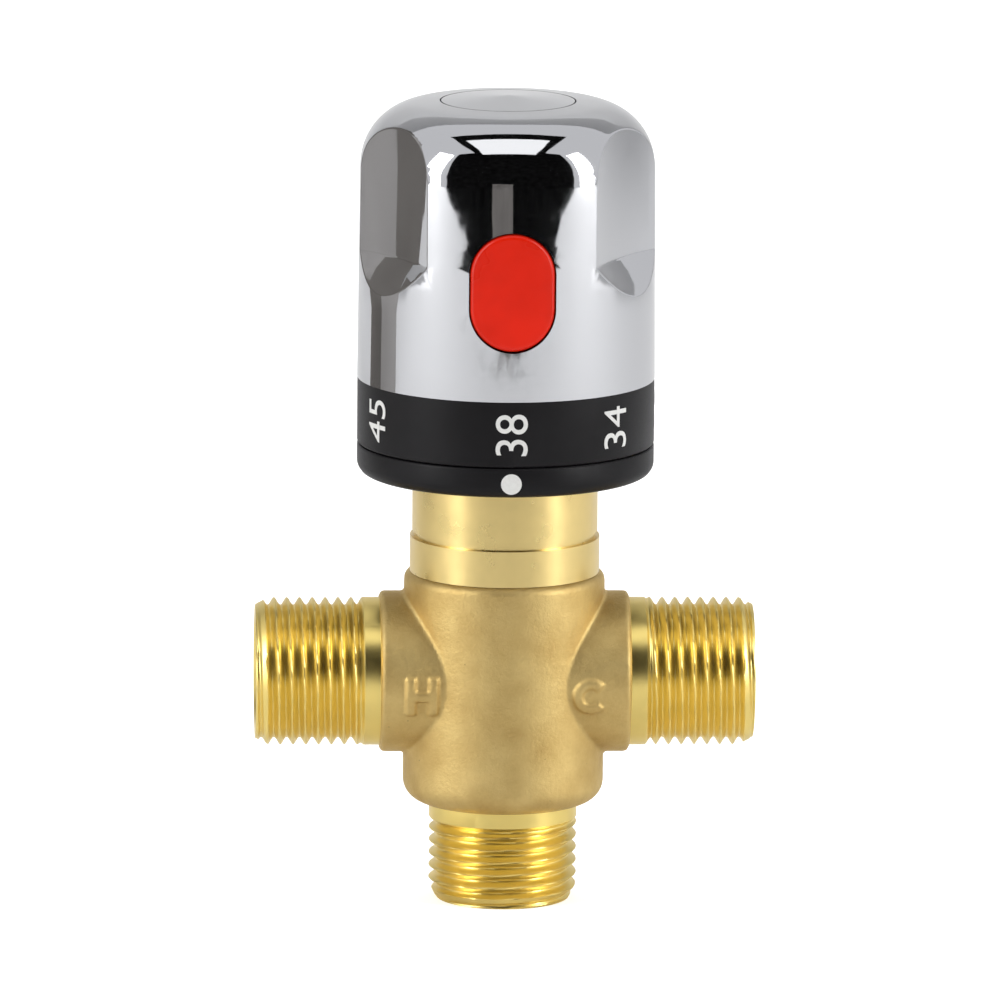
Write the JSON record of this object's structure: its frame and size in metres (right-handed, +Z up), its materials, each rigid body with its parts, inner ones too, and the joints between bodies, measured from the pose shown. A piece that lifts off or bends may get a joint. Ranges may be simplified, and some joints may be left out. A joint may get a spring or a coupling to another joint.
{
  "type": "thermostatic mixing valve",
  "caption": "Brass thermostatic mixing valve with male threaded inlets at both sides, a male outlet below, and a chromed knob with a temperature dial and override button.",
  "frame": {"origin": "centre of the outlet's end face, on the valve's axis", "axes": "+Z up the valve's axis from the outlet to the knob, +X along the cold inlet, -Y the front with the button and the dot"},
  "size_m": [0.0704, 0.042, 0.115],
  "materials": {
    "cast_brass": "sand cast, tumbled",
    "turned_brass": "turned, bright",
    "chrome": "chromium plated plastic, polished",
    "black_plastic": "moulded ABS, satin",
    "red_plastic": "moulded ABS, satin gloss",
    "white_plastic": "moulded acetal",
    "grey_plastic": "moulded glass-filled polymer",
    "seal_rubber": "moulded EPDM",
    "stainless": "stainless, drawn or turned"
  },
  "bodies": {
    "root": {"bonnet": "turned_brass", "bonnet_seal": "seal_rubber", "cage_seal_lower": "seal_rubber", "cage_seal_middle": "seal_rubber", "cage_seal_upper": "seal_rubber", "cartridge_cage": "grey_plastic", "cold_check_cage": "grey_plastic", "cold_check_seal": "seal_rubber", "cold_check_spring": "stainless", "cold_seat": "stainless", "cold_strainer": "stainless", "hot_check_cage": "grey_plastic", "hot_check_seal": "seal_rubber", "hot_check_spring": "stainless", "hot_strainer": "stainless", "pointer_ring": "black_plastic", "return_spring": "stainless", "stop_ring": "white_plastic", "valve_body": "cast_brass"},
    "knob": {"knob_shell": "chrome", "knob_cap": "chrome", "knob_screw": "stainless", "dial_ring": "black_plastic", "spindle": "turned_brass", "spindle_circlip": "stainless", "spindle_seal_lower": "seal_rubber", "spindle_seal_upper": "seal_rubber", "button_spring": "stainless"},
    "button": {"red_button": "red_plastic"},
    "adjuster": {"adjusting_nut": "turned_brass", "overload_spring": "stainless", "overload_cup": "turned_brass", "overload_clip": "stainless", "element_pin": "stainless"},
    "shuttle": {"shuttle": "stainless", "shuttle_seal": "seal_rubber", "wax_element": "turned_brass"},
    "hot_poppet": {"hot_check_poppet": "white_plastic"},
    "cold_poppet": {"cold_check_poppet": "white_plastic"}
  },
  "joints": [
    {"name": "knob_turn", "type": "hinge", "parent": "root", "child": "knob", "pos_m": [0, 0, 0.065], "axis": [0, 0, 1], "range_deg": [-95, 105]},
    {"name": "button_press", "type": "slide", "parent": "knob", "child": "button", "axis": [0, 1, 0], "range_m": [0, 0.002], "stiffness_N_per_m": 500, "springref_m": -0.002, "deforming": ["button_spring"]},
    {"name": "adjuster_lift", "type": "slide", "parent": "root", "child": "adjuster", "axis": [0, 0, 1], "range_m": [-0.00035, 0.00035]},
    {"name": "wax_stroke", "type": "slide", "parent": "adjuster", "child": "shuttle", "axis": [0, 0, -1], "range_m": [-0.0004, 0.0004], "stiffness_N_per_m": 2000, "deforming": ["return_spring"]},
    {"name": "hot_check_open", "type": "slide", "parent": "root", "child": "hot_poppet", "axis": [1, 0, 0], "range_m": [0, 0.002], "stiffness_N_per_m": 100, "springref_m": -0.002, "deforming": ["hot_check_spring"]},
    {"name": "cold_check_open", "type": "slide", "parent": "root", "child": "cold_poppet", "axis": [-1, 0, 0], "range_m": [0, 0.002], "stiffness_N_per_m": 100, "springref_m": -0.002, "deforming": ["cold_check_spring"]}
  ],
  "couplings": [
    {"joint": "adjuster_lift", "follows": "knob_turn", "m_per_rad": -0.00015915}
  ]
}
